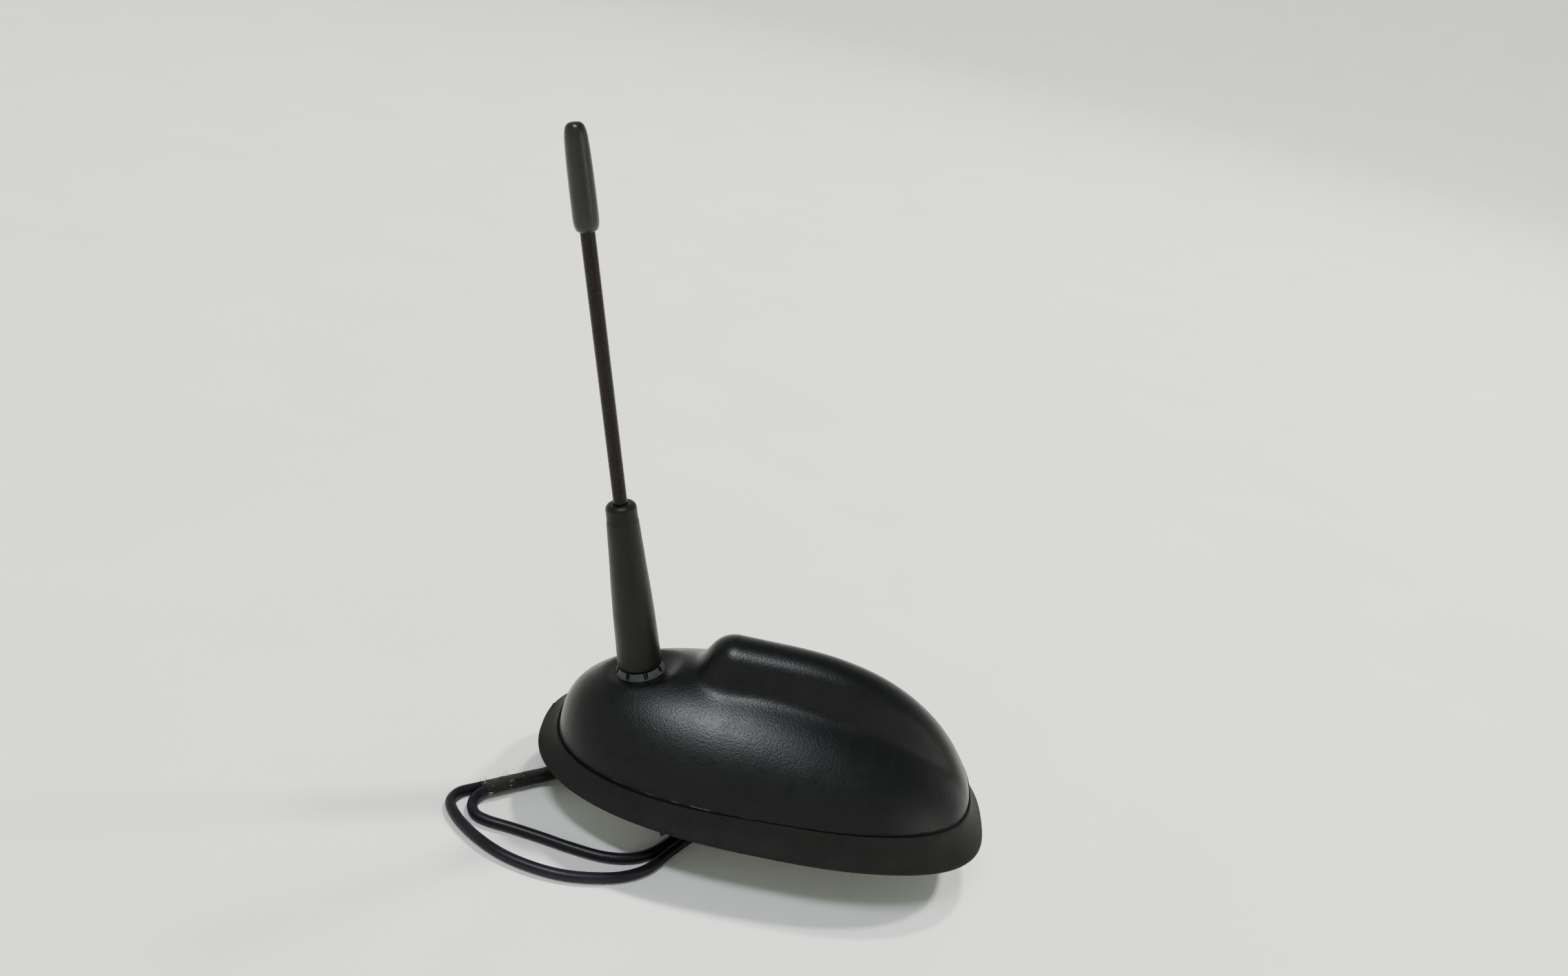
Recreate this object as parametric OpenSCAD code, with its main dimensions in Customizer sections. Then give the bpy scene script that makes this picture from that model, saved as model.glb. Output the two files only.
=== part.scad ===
// Vehicle roof antenna: a screw-in whip mast on a ribbed seat, a moulded cover with a
// finger-shaped hump, a flared rubber gasket and a hollow threaded stud with its clamping nut.
// Two thin coaxial leads leave the stud. Millimetres. Z = 0 is the roof skin under the gasket,
// +Z points out of the roof, +X towards the rounded front of the cover.

/* [Base] */
// Length of the gasket where it meets the roof
base_l = 130; // [120:1:140]
// Width of the gasket where it meets the roof
base_w = 75; // [70:1:80]
// Height of the gasket at mid length
lip_h = 7.7; // [6:0.1:9]
// Extra height of the gasket at its front end, lost again at its rear end
lip_rise = 2.3; // [0:0.1:3]
// Mean distance that the gasket draws in from the roof up to the cover
lip_inset = 4.9; // [4:0.1:6]

/* [Cover] */
// Height of the cover's main dome above the gasket
dome_h = 24.2; // [22:0.2:26]
// Height of the hump's crest above the roof
hump_h = 40.9; // [38:0.1:44]
// Radius of the hump's rounded back
hump_r = 8.1; // [7:0.1:9]
// Where the hump's rounded rear end is centred
hump_rear = -15.3; // [-18:0.1:-12]
// Wall thickness of the cover
wall = 2.4; // [2:0.1:3]

/* [Mast] */
// Angle of the mast back from the roof's normal
rake = 15.5; // [10:0.5:20]
// Length of the mast above its seat
mast_l = 148.5; // [120:0.5:180]
// Diameter of the mast's rod
rod_d = 3.8; // [3.4:0.1:4.2]
// Diameter of the foot where it meets the seat
foot_d = 12.4; // [12:0.1:12.8]

/* [Roof fixing] */
// Outside diameter of the hollow roof stud
stud_d = 14; // [13.6:0.1:14.2]
// Length of the stud below the roof skin
stud_l = 16; // [16:0.5:18]
// Size of the roof nut across its flats
nut_af = 22; // [21:0.5:24]

/* [Leads] */
// Diameter of each coaxial lead
lead_d = 2.9; // [2.7:0.1:3]

/* [Hidden] */
$fn = 48;

// Plan outlines: ovals that are squarer at the front than at the rear.
front_n = 2.6;
rear_n = 2.4;
nose_x = 30;
nose_drop = 2.5;
around = 48;                       // points round every oval
rows = 11;                         // rings from the crown of the cover to its edge

// Mast seat: a point on the mast's axis, in the plane of the seat's edge.
seat_x = -40.5;
seat_z = 25;
seat_r = 7.1;
seat_low = -1.6;                   // lower face, dished floor and top of the seat's collar
seat_floor = -0.3;
seat_top = 1.8;
pad_r = 12;                        // the cover is level with the seat's edge and blends out to here
foot_z = 2.2;                      // the foot's lower face above the seat
foot_top = 51;
foot_top_r = 4.1;
rod_r = rod_d / 2;
rod_z = 30;                        // the rod's lower end, inside the foot
core_r = 1.1;
tip_z = 123;                       // where the tip cap starts
tip_r = 3.2;
tip_grip = 12;                     // the rod's reach into the tip cap
insert_r = 3;                      // the stud's knurled head, moulded into the foot
insert_top = 15;
thread_r = 2.5;
thread_gap = 0.06;
thread_in = 9;                     // the stud's reach below the seat

// Heights of the stack above the roof.
web_t = 1.2;
plate_z = 1.3;
plate_t = 3;
plate_top = plate_z + plate_t;
flange_t = 2;
board_z = 8;
board_t = 1.6;
board_top = board_z + board_t;
fit = 0.05;

// Roof stud, washer and nut.
stud_r = stud_d / 2;
stud_bore_r = 4.6;
exit_w = 8.4;                      // width of the stud's side slot for the leads
exit_h = 5.6;
exit_angle = 223;                  // the slot faces the rear left
washer_z = -2.2;
washer_t = 1.1;
nut_z = -7.2;
nut_h = 4.7;
hex_r = nut_af / 2 / cos(30);

// Screw places.
boss_at = [[-27, -12], [-27, 12], [38, -11], [38, 11]];
boss_r = 2.3;
board_screw_at = [[-40, -12], [-40, 12], [18, -12], [18, 12]];
board_x = [-44, 22];
board_w = 32;
nib_at = [[-25, 34.2], [-61, 14]];

// Leads: both lie on the plane of the stud's lower end.
lead_r = lead_d / 2;
floor_z = -stud_l;
lie = floor_z + lead_r + 0.05;
plug_z = floor_z + 4;
lap = 1.2;                         // the tape holds the phone lead this far up against the radio lead
radio_route = [[1.5, -1.7, 4.5], [1.5, -1.7, -2], [1.4, -1.8, -7], [0.5, -2.6, -10.5], [-1.6, -4.6, -13.2],
    [-5, -7.8, lie], [-10, -12, lie], [-16, -17, lie], [-21.5, -25, lie], [-27, -34, lie], [-33, -38.6, lie],
    [-40, -41, lie], [-48, -42.2, lie], [-56, -41.6, lie], [-65.3, -39, lie], [-73.6, -34.2, lie],
    [-80.3, -28.2, lie], [-83.4, -23, lie], [-82.4, -18.8, lie], [-78.6, -15.6, lie], [-70.6, -9.6, lie],
    [-63, -4, lie], [-55, 2.4, lie], [-47, 8.8, lie], [-39, 15.4, lie], [-31, 23, lie], [-24, 31, lie],
    [-17, 40, lie], [-10, 48, lie], [-2, 53, -14], [5, 55, -12.3], [12, 55, plug_z]];
phone_route = [[-1.5, 1.7, 4.5], [-1.5, 1.7, -2], [-1.7, 1.6, -7], [-2.7, 0.6, -10.5], [-4.9, -1.6, -13.2],
    [-8.3, -4.8, lie], [-13.2, -9, lie], [-18, -14.5, lie], [-22.5, -21.5, lie], [-27, -27.6, lie],
    [-32, -31, lie], [-39, -32.4, lie], [-48, -31.5, lie], [-57, -29.8, lie], [-65.5, -28.4, lie],
    [-72.1, -27.5, lie], [-75.5, -26.1, lie], [-77.4, -23.1, lie], [-77.3, -19.6, lie + 0.3],
    [-75.3, -16.9, lie + 0.8], [-68.7, -12, lie + lap], [-61.2, -6.4, lie + lap], [-53, 0, lie + lap],
    [-45, 6.4, lie + 0.8], [-37, 12.9, lie + 0.3], [-29, 20.4, lie], [-21.8, 28.4, lie], [-14.5, 37, lie],
    [-8, 42.5, lie], [-1, 44.5, -14], [6, 45, -12.3], [12, 45, plug_z]];
wrap_route = [[-76.4, -15.9, lie + lap / 2], [-69.7, -10.8, lie + lap / 2], [-62.1, -5.2, lie + lap / 2],
    [-54, 1.2, lie + lap / 2], [-46, 7.6, lie + lap / 2]];
wrap_half = [3.3, 1.7];
wrap_tilt = -22;

// ---- outlines and surfaces -------------------------------------------------------------

function power(v, p) = sign(v) * pow(abs(v), p);
function rim(t) =
    let(c = cos(t), s = sin(t), n = c >= 0 ? front_n : rear_n)
    [base_l / 2 * power(c, 2 / n), base_w / 2 * power(s, 2 / n)];
function drawn_in(t, d) = let(p = rim(t)) p * (1 - d / norm(p));
function inset(t) = lip_inset + 0.9 * cos(t) + 0.5 * cos(2 * t);
function lip(t, d = 0) = drawn_in(t, inset(t) + d);
// Bend of the nose down to the roof: 0 as far as nose_x, 1 at the front end.
function nose(x) = pow(max(0, x - nose_x) / (base_l / 2 - nose_x), 2);
function parting(x) = lip_h + lip_rise * x / (base_l / 2) - nose_drop * nose(x);

cover_edge = 0.6;                  // the gasket's lip stands this far outside the cover
front_x = lip(0, cover_edge)[0];
rear_x = lip(180, cover_edge)[0];
crown_x = -9;
crest_x = -3;
crest_end = 6;                     // height that the hump's crest runs out at
flank = 0.9;                       // share of the hump's radius that is round; its side is steep below
fillet = 2.5;

// Height of the dome's centre line above the parting line.
function dome_top(x) =
    let(u = x < crown_x ? (crown_x - x) / (crown_x - rear_x) : (x - crown_x) / (front_x - crown_x),
        m = x < crown_x ? 2.45 : 1.75, k = x < crown_x ? 2.5 : 1.5)
    dome_h * pow(max(0, 1 - pow(min(1, u), m)), 1 / k);
// Half width of the cover at its lower edge.
function half_width(x) =
    let(a = x < 0 ? -rear_x : front_x, n = x < 0 ? rear_n : front_n)
    lip(90, cover_edge)[1] * pow(max(0.0001, 1 - pow(min(1, abs(x) / a), n)), 1 / n);
// Round cross-section, 1 on the centre line and 0 at the lower edge.
function bow(v) = let(c = 0.84, s = sqrt(1 - c * c)) (sqrt(1 - pow(c * min(1, abs(v)), 2)) - s) / (1 - s);
function crest(x) =
    let(u = max(0, (x - crest_x) / (front_x - crest_x)))
    crest_end + (hump_h - crest_end) * pow(max(0, 1 - pow(min(1, u), 2.5)), 0.7);
// Drop of the hump's back at a distance r from its ridge.
function finger(r) =
    let(turn = flank * hump_r, a = min(r, turn), side = sqrt(hump_r * hump_r - turn * turn))
    hump_r - sqrt(hump_r * hump_r - a * a) + max(0, r - turn) * turn / side;
function hump(x, y) = crest(x) - finger(norm([y, min(0, x - hump_rear)]));
function blend(a, b, r) = (a + b + sqrt(pow(a - b, 2) + r * r)) / 2;
function shell(x, y) = blend(parting(x) + dome_top(x) * bow(y / half_width(x)), hump(x, y), fillet);
// Share of the seat's plane in the surface at a distance r from the mast: 1 at the seat, 0 from pad_r on.
function pad(r) = let(s = min(1, max(0, (pad_r - r) / (pad_r - seat_r)))) s * s * (3 - 2 * s);
function crown(x, y) =
    let(z = shell(x, y), w = pad(norm([x - seat_x, y])))
    z + w * (seat_z + tan(rake) * (x - seat_x) + 0.1 - z);

// One ring of the cover's surface, inset and lowered by t for the inner side.
function cover_ring(j, t) =
    let(f = sin(90 * j / rows))
    [for (i = [0:around - 1])
        let(e = lip(360 * i / around, cover_edge + t), x = crown_x + (e[0] - crown_x) * f, y = e[1] * f)
        [x, y, j == rows ? parting(x) : max(parting(x) + 0.2, crown(x, y) - t)]];

function quads(a, b, n) =
    [for (i = [0:n - 1]) let(k = (i + 1) % n) each [[a + i, b + i, b + k], [a + i, b + k, a + k]]];

// Closed skin through a list of rings that each have the same number of points.
module loft(rings) {
    n = len(rings[0]);
    last = (len(rings) - 1) * n;
    polyhedron(
        points = [for (r = rings) each r],
        faces = concat(
            [for (r = [0:len(rings) - 2]) each quads(r * n, (r + 1) * n, n)],
            [[for (i = [0:n - 1]) i]],
            [[for (i = [n - 1:-1:0]) last + i]]),
        convexity = 8);
}

// Skin round a ring-shaped section: the last ring joins the first again.
module hoop(rings) {
    n = len(rings[0]);
    polyhedron(
        points = [for (r = rings) each r],
        faces = [for (r = [0:len(rings) - 1]) each quads(r * n, ((r + 1) % len(rings)) * n, n)],
        convexity = 8);
}

// Flat plate with the base's outline, drawn in by d.
module slab(d, z, t) {
    translate([0, 0, z])
        linear_extrude(t)
            polygon([for (i = [0:around - 1]) drawn_in(360 * i / around, d)]);
}

module at_mast() {
    translate([seat_x, 0, seat_z]) rotate([0, -rake, 0]) children();
}

module ring(r_out, r_in, z, h) {
    translate([0, 0, z])
        difference() {
            cylinder(r = r_out, h = h);
            translate([0, 0, -1]) cylinder(r = r_in, h = h + 2);
        }
}

// ---- cover and gasket ------------------------------------------------------------------

module cover_shell() {
    top = rows * around;
    inner = top + 1;
    outer_rings = [for (j = [1:rows]) each cover_ring(j, 0)];
    inner_rings = [for (j = [1:rows]) each cover_ring(j, wall)];
    last = (rows - 1) * around;
    polyhedron(
        points = concat(outer_rings, [[crown_x, 0, crown(crown_x, 0)]],
                        inner_rings, [[crown_x, 0, crown(crown_x, 0) - wall]]),
        faces = concat(
            [for (i = [0:around - 1]) [top, (i + 1) % around, i]],
            [for (j = [0:rows - 2]) each
                [for (q = quads(j * around, (j + 1) * around, around)) [q[2], q[1], q[0]]]],
            [for (i = [0:around - 1]) [inner + top, inner + i, inner + (i + 1) % around]],
            [for (j = [0:rows - 2]) each quads(inner + j * around, inner + (j + 1) * around, around)],
            [for (q = quads(last, inner + last, around)) [q[2], q[1], q[0]]]),
        convexity = 10);
}

module cover() {
    color("#2b2d30")
        difference() {
            union() {
                cover_shell();
                for (p = boss_at)
                    translate([p[0], p[1], plate_top + fit])
                        cylinder(r = boss_r, h = crown(p[0], p[1]) - wall / 2 - plate_top);
            }
            at_mast() translate([0, 0, -8]) cylinder(r = seat_r + fit, h = 12);
            for (p = boss_at)
                translate([p[0], p[1], plate_top - 1]) cylinder(r = 1.35, h = 9);
        }
}

// Gasket: a flared skirt with a lip round the cover, on a web that seals under the base plate.
function skirt_ring(u, v, d = 0) =
    [for (i = [0:around - 1])
        let(t = 360 * i / around, p = drawn_in(t, u * inset(t) + d))
        [p[0], p[1], v * parting(p[0])]];
module gasket() {
    ledge = 3.4;
    color("#3a3b3c") {
        hoop([skirt_ring(0, 0), skirt_ring(0.1, 0.12), skirt_ring(0.45, 0.4), skirt_ring(0.8, 0.75),
              skirt_ring(1, 1), skirt_ring(1, 1, ledge), skirt_ring(1, 0.5, ledge), skirt_ring(0, 0, 8.7)]);
        difference() {
            slab(8.6, 0, web_t);
            translate([0, 0, -1]) cylinder(r = 12.4, h = 4);
        }
        for (p = nib_at, s = [-1, 1])
            translate([p[0], s * p[1], 0]) cylinder(r = 1.1, h = 1.2);
    }
}

// ---- base, roof stud and nut -----------------------------------------------------------

module base_plate() {
    color("#9a9da0")
        difference() {
            union() {
                slab(10.2, plate_z, plate_t);
                for (p = board_screw_at)
                    translate([p[0], p[1], plate_top - 0.5]) cylinder(r = 2.8, h = board_z - plate_top + 0.5);
            }
            translate([0, 0, plate_z - 1]) cylinder(r = stud_r + fit, h = plate_t + 2);
            for (p = boss_at)
                translate([p[0], p[1], plate_z - 1]) {
                    cylinder(r = 1.5, h = plate_t + 2);
                    cylinder(r = 2.8, h = 2.8);
                }
            for (p = board_screw_at)
                translate([p[0], p[1], plate_z + 1]) cylinder(r = 0.95, h = 9);
        }
}

module roof_stud() {
    color("#b9bbb8")
        difference() {
            union() {
                translate([0, 0, -stud_l]) cylinder(r = stud_r, h = stud_l + plate_top);
                translate([0, 0, plate_top]) cylinder(r = 10.5, h = flange_t);
            }
            translate([0, 0, -stud_l - 1]) cylinder(r = stud_bore_r, h = stud_l + plate_top + flange_t + 2);
            rotate([0, 0, exit_angle])
                translate([0, -exit_w / 2, -stud_l - 1]) cube([stud_r + 2, exit_w, exit_h + 1]);
        }
}

module stud_seal() {
    color("#222222") ring(12.3, stud_r + fit, 0, web_t);
}

module toothed_washer() {
    tooth_h = 0.4;
    color("#c4c6c4") {
        ring(12, stud_r + 0.3, washer_z, washer_t);
        for (i = [0:7])
            rotate([0, 0, 45 * i])
                translate([10, -0.6, washer_z + washer_t]) cube([1.8, 1.2, tooth_h]);
    }
}

module roof_nut() {
    color("#c8c9c5")
        difference() {
            translate([0, 0, nut_z]) cylinder(r = hex_r, h = nut_h, $fn = 6);
            translate([0, 0, nut_z - 1]) cylinder(r = stud_r + thread_gap, h = nut_h + 2);
        }
}

module cover_screws() {
    color("#d0d2d0")
        for (p = boss_at)
            translate([p[0], p[1], plate_z + 0.1]) {
                cylinder(r = 2.6, h = 1.6);
                cylinder(r = 1.3, h = 9.5);
            }
}

// ---- mast ------------------------------------------------------------------------------

// The mast's tip: a slim cap with a domed end and a chamfer at its mouth.
module mast_tip() {
    dome = mast_l - 3.2;
    color("#2a2826")
        at_mast()
            difference() {
                rotate_extrude()
                    polygon(concat(
                        [[0, tip_z], [tip_r - 0.7, tip_z], [tip_r, tip_z + 1.6], [tip_r, dome - 12]],
                        [for (a = [0:10:90]) [1.2 + 1.7 * cos(a), dome + 3.2 * sin(a)]],
                        [[0, mast_l]]));
                translate([0, 0, tip_z - 1]) cylinder(r = rod_r + fit, h = tip_grip + 3);
            }
}

module mast_rod() {
    color("#1d1715") at_mast() ring(rod_r, core_r + 0.4, rod_z, tip_z + tip_grip - rod_z);
}

module radiator_winding() {
    color("#b06a3a") at_mast() ring(core_r + 0.35, core_r + 0.05, rod_z + 2, 92);
}

module radiator_core() {
    color("#d8d2b8") at_mast() translate([0, 0, rod_z + 1]) cylinder(r = core_r, h = 100);
}

module mast_foot() {
    foot_r = foot_d / 2;
    color("#2c2b2a")
        at_mast()
            difference() {
                rotate_extrude()
                    polygon(concat(
                        [[0, foot_z], [foot_r - 0.3, foot_z], [foot_r, foot_z + 0.3], [foot_r - 0.45, 17.5],
                         [5.4, 25.5], [4.95, 33.5], [4.6, 41]],
                        [for (a = [0:15:90])
                            [foot_top_r - 1.4 + 1.4 * cos(a), foot_top - 1.6 + 1.6 * sin(a)]],
                        [[0, foot_top]]));
                translate([0, 0, rod_z - 0.5]) cylinder(r = rod_r + fit, h = foot_top - rod_z + 2);
                cylinder(r = insert_r + fit, h = insert_top + 1);
            }
}

module mast_stud() {
    color("#c9a24a")
        at_mast() {
            translate([0, 0, -thread_in]) cylinder(r = thread_r, h = thread_in + 4);
            translate([0, 0, 4]) cylinder(r = insert_r, h = insert_top - 4);
        }
}

module foot_seal() {
    color("#151515") at_mast() ring(4.3, thread_r + 0.3, seat_floor + 0.3, foot_z - seat_floor - 0.5);
}

// Seat: a low conical collar round the mast's foot, notched all round, with a dished middle.
module seat_ring() {
    notches = 8;
    lip_in = 5.4;
    color("#4a4c4c")
        at_mast()
            difference() {
                rotate_extrude()
                    polygon([[3.1, seat_low], [seat_r, seat_low], [seat_r, 0.1], [lip_in + 0.7, seat_top],
                             [lip_in, seat_top], [4.6, seat_floor], [3.1, seat_floor]]);
                for (i = [0:notches - 1])
                    rotate([0, 0, 360 * (i + 0.5) / notches])
                        translate([4.8, -0.6, 0.2]) cube([3, 1.2, 2]);
            }
}

module mast_socket() {
    color("#c9a24a")
        at_mast() {
            ring(4.2, thread_r + thread_gap, -12, 10);
            ring(5.2, thread_r + thread_gap, -13, 1);
        }
}

module socket_insulator() {
    color("#e4e1d6") at_mast() ring(6.6, 4.2 + fit, -11.9, 10.2);
}

module contact_spring() {
    strip = 4;
    color("#d8b25a")
        translate([seat_x + 1, strip / 2, board_top + fit])
            rotate([90, 0, 0])
                linear_extrude(strip)
                    polygon([[-3, 0], [5, 0], [5, 0.3], [-2.6, 0.3], [-2.6, 0.95], [4.3, 2.8], [4.2, 3.1],
                             [-3, 1.2]]);
}

// ---- electronics -----------------------------------------------------------------------

module amplifier_board() {
    color("#2c6b3f")
        difference() {
            translate([board_x[0], -board_w / 2, board_z]) cube([board_x[1] - board_x[0], board_w, board_t]);
            for (p = boss_at)
                translate([p[0], p[1], board_z - 1]) cylinder(r = boss_r + 0.3, h = board_t + 2);
            for (p = board_screw_at)
                translate([p[0], p[1], board_z - 1]) cylinder(r = 1.2, h = board_t + 2);
        }
}

module board_chips() {
    chips = [[-8, 9, 6, 5, 1.6], [4, 9, 8, 6, 1.9], [-8, -13, 7, 5, 1.6], [3, -12, 5, 4, 1.2],
             [10, -13, 3, 6, 1], [-42, 6, 5, 2.5, 1], [-42, -8, 5, 2.5, 1]];
    color("#26262a")
        for (c = chips)
            translate([c[0], c[1], board_top + fit]) cube([c[2], c[3], c[4]]);
}

module shield_can() {
    can = [17, 16, 3.4];
    tin = 0.3;
    color("#c3c6c8")
        translate([-31, -can[1] / 2, board_top + fit])
            difference() {
                cube(can);
                translate([tin, tin, -1]) cube([can[0] - 2 * tin, can[1] - 2 * tin, can[2] + 1 - tin]);
            }
}

module board_screws() {
    color("#d0d2d0")
        for (p = board_screw_at)
            translate([p[0], p[1], 0]) {
                translate([0, 0, board_top + fit]) cylinder(r = 2, h = 1.2);
                translate([0, 0, plate_top + 0.5]) cylinder(r = 0.9, h = board_top - plate_top);
            }
}

// Upright blade that fills the hump: the telephone band's radiator.
module phone_radiator() {
    blade = 0.8;
    color("#c58b55")
        translate([0, blade / 2, 0])
            rotate([90, 0, 0])
                linear_extrude(blade)
                    polygon([[-13, 11.2], [33, 11.2], [33, 25], [25, 30.5], [12, 34.5], [-3, 36], [-13, 35.5]]);
}

module radiator_holder() {
    color("#8c8f92")
        difference() {
            translate([-9, -3, board_top + fit]) cube([24, 6, 5]);
            translate([-14, -0.45, 11.1]) cube([34, 0.9, 6]);
        }
}

module cable_grommet() {
    color("#1b1b1b")
        difference() {
            translate([0, 0, -6]) cylinder(r = stud_bore_r - fit, h = 5);
            for (p = [[1.5, -1.7], [-1.5, 1.7]])
                translate([p[0], p[1], -7]) cylinder(r = lead_r + 0.25, h = 7);
        }
}

module lead_ferrules() {
    color("#d6d6cf")
        for (p = [radio_route[0], phone_route[0]])
            translate([p[0], p[1], p[2]]) cylinder(r = 2, h = board_z - p[2] - fit);
}

// ---- leads -----------------------------------------------------------------------------

function unit(v) = v / norm(v);
function heading(p, i) = unit(p[min(i + 1, len(p) - 1)] - p[max(i - 1, 0)]);
// A side direction that stays level, carried on from the last ring where the lead runs upright.
function side_of(p, i) =
    let(d = heading(p, i), h = [d[0], d[1]])
    abs(d[2]) > 0.95 ? [0.66, -0.75, 0] : let(u = unit(h)) [-u[1], u[0], 0];
function tube_ring(p, i, a, b, n, tilt) =
    let(d = heading(p, i), s0 = side_of(p, i), level = unit(s0 - d * (s0 * d)), up = cross(d, level),
        s = level * cos(tilt) + up * sin(tilt), u = cross(d, s))
    [for (k = [0:n - 1]) p[i] + s * (a * cos(360 * k / n)) + u * (b * sin(360 * k / n))];
module tube(p, a, b, n = 8, tilt = 0) {
    loft([for (i = [len(p) - 1:-1:0]) tube_ring(p, i, a, b, n, tilt)]);
}

module radio_lead() {
    color("#1e1c22") tube(radio_route, lead_r, lead_r);
}
module phone_lead() {
    color("#1e1c22") tube(phone_route, lead_r, lead_r);
}
module fleece_wrap() {
    color("#2a2624") tube(wrap_route, wrap_half[0], wrap_half[1], 12, wrap_tilt);
}

// Coaxial plug that points along +X: a square body with a latch and a stepped round mouth.
// The end of its lead reaches 4 mm into its rear.
plug_l = 20;
plug_side = 7.8;
mouth_r = 3.2;
mouth_l = 4.8;
lead_in = 4;
tube_out_r = 2.05;
module at_plug(route) {
    translate(route[len(route) - 1] - [lead_in, 0, 0]) children();
}
module plug_body() {
    difference() {
        union() {
            translate([0, -plug_side / 2, -plug_side / 2]) cube([plug_l, plug_side, plug_side]);
            translate([3, -1.6, plug_side / 2]) cube([11, 3.2, 1.3]);
        }
        rotate([0, 90, 0]) {
            translate([0, 0, -1]) cylinder(r = tube_out_r + fit, h = plug_l);
            translate([0, 0, 9]) cylinder(r = mouth_r - 0.3, h = plug_l);
            translate([0, 0, plug_l - mouth_l]) cylinder(r = mouth_r, h = plug_l);
        }
    }
}
module plug_contact() {
    start = lead_in + 0.2;
    end = plug_l - mouth_l - 0.2;
    rotate([0, 90, 0]) {
        ring(tube_out_r, tube_out_r - 0.3, start, end - start);
        ring(tube_out_r - 0.3, 0.45, start + 1, 4);
        translate([0, 0, start + 1]) cylinder(r = 0.45, h = end - start - 1);
    }
}
module radio_plug() {
    color("#26282b") at_plug(radio_route) plug_body();
}
module radio_plug_contact() {
    color("#cfae5c") at_plug(radio_route) plug_contact();
}
module phone_plug() {
    color("#6c2a3c") at_plug(phone_route) plug_body();
}
module phone_plug_contact() {
    color("#cfae5c") at_plug(phone_route) plug_contact();
}

cover();
gasket();
base_plate();
roof_stud();
stud_seal();
toothed_washer();
roof_nut();
cover_screws();
mast_tip();
mast_rod();
radiator_core();
radiator_winding();
mast_foot();
mast_stud();
foot_seal();
seat_ring();
mast_socket();
socket_insulator();
contact_spring();
amplifier_board();
board_chips();
shield_can();
board_screws();
phone_radiator();
radiator_holder();
cable_grommet();
lead_ferrules();
radio_lead();
phone_lead();
fleece_wrap();
radio_plug();
radio_plug_contact();
phone_plug();
phone_plug_contact();
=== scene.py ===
import math
import random

import bmesh
import bpy
from mathutils import Matrix, Vector, noise


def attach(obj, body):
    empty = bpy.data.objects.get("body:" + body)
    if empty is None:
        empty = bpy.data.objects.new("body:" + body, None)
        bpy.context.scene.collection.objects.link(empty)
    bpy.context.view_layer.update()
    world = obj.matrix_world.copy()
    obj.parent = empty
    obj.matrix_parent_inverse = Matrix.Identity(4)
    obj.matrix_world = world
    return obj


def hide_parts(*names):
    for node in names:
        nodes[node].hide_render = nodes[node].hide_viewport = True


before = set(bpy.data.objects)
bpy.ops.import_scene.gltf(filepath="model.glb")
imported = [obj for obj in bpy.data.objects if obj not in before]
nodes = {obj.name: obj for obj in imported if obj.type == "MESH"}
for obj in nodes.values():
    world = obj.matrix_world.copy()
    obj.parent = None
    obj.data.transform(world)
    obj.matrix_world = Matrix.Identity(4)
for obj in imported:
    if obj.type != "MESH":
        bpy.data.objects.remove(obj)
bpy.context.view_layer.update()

# Vehicle roof antenna, in metres. Z = 0 is the roof skin under the gasket, +Z points out of
# the roof and +X to the rounded front of the cover.
MM = 0.001

# ---- sizes -----------------------------------------------------------------------------

BASE_L = 130 * MM
BASE_W = 75 * MM
LIP_H = 7.7 * MM
LIP_RISE = 2.3 * MM
LIP_INSET = 4.9 * MM
LIP_TURN = 0.9 * MM
LIP_WAIST = 0.5 * MM
DOME_H = 24.2 * MM
HUMP_H = 40.9 * MM
HUMP_REAR = -15.3 * MM
HUMP_R = 8.1 * MM
WALL = 2.4 * MM
FRONT_N, REAR_N = 2.6, 2.4
NOSE_X = 30 * MM
NOSE_DROP = 2.5 * MM
CROWN_X = -9 * MM
CREST_X = -3 * MM
CREST_END = 6 * MM
COVER_EDGE = 0.6 * MM
FILLET = 2.5 * MM
FLANK = 0.9

SEAT = Vector((-40.5 * MM, 0, 25 * MM))
SEAT_R = 7.1 * MM
PAD_R = 12 * MM
RAKE = math.radians(15.5)
SEAT_LOW, SEAT_FLOOR, SEAT_TOP = -1.6 * MM, -0.3 * MM, 1.8 * MM
FOOT_Z = 2.2 * MM
FOOT_R = 6.2 * MM
FOOT_TOP = 51 * MM
FOOT_TOP_R = 4.1 * MM
ROD_R = 1.9 * MM
ROD_Z = 30 * MM
TIP_Z = 123 * MM
TIP_R = 3.2 * MM
THREAD_R = 2.5 * MM
MAST_PITCH = 0.8 * MM
THREAD_IN = 9 * MM

STUD_R = 7 * MM
STUD_L = 16 * MM
STUD_BORE_R = 4.6 * MM
STUD_PITCH = 1.5 * MM
EXIT_W = 8.4 * MM
EXIT_H = 5.6 * MM
EXIT_ANGLE = math.radians(223)
PLATE_TOP = 4.3 * MM

LEAD_D = 2.9 * MM
FLOOR_Z = -STUD_L
LIE = FLOOR_Z + LEAD_D / 2 + 0.05 * MM
PLUG_Z = FLOOR_Z + 4 * MM


# ---- mesh helpers ----------------------------------------------------------------------


def mesh_object(name, points, faces, smooth=True):
    data = bpy.data.meshes.new(name)
    data.from_pydata([tuple(p) for p in points], [], faces)
    data.validate()
    bm = bmesh.new()
    bm.from_mesh(data)
    bmesh.ops.recalc_face_normals(bm, faces=bm.faces)
    bm.to_mesh(data)
    bm.free()
    if smooth:
        data.shade_smooth()
    obj = bpy.data.objects.new(name, data)
    bpy.context.collection.objects.link(obj)
    return obj


def ring_faces(rings, around, closed=False):
    faces = []
    for r in range(rings if closed else rings - 1):
        a, b = r * around, ((r + 1) % rings) * around
        for i in range(around):
            k = (i + 1) % around
            faces.append((a + i, a + k, b + k, b + i))
    return faces


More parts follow.
